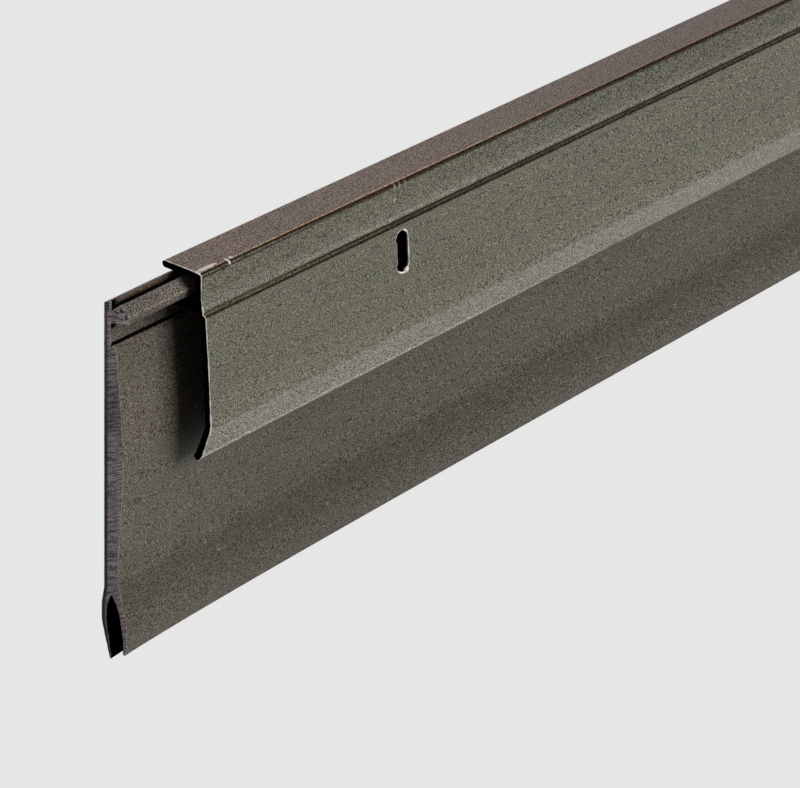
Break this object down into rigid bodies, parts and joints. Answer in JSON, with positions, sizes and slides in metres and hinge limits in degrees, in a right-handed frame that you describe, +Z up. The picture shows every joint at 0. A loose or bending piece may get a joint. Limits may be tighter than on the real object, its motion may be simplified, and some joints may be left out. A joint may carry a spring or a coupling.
{
  "type": "garage door sweep",
  "caption": "Two-part door sweep: a bronze aluminium carrier with slotted screw holes, and a vinyl insert with a pair of sealing fins that slides in it.",
  "frame": {"origin": "on the door's face (the insert's flat back), half way along the carrier and level with the middle of its screw slots", "axes": "+X along the sweep, away from the end where the insert stands out; +Y towards the door; +Z up"},
  "size_m": [0.9289, 0.0111, 0.0672],
  "materials": {
    "bronze_aluminium": "dark bronze anodised look, satin",
    "brown_vinyl": "flexible vinyl, dull satin"
  },
  "bodies": {
    "carrier": {"aluminium_carrier": "bronze_aluminium"},
    "insert": {"vinyl_insert": "brown_vinyl"}
  },
  "joints": [
    {"name": "insert_slide", "type": "slide", "parent": "carrier", "child": "insert", "axis": [1, 0, 0], "range_m": [-0.895, 0.924]}
  ]
}
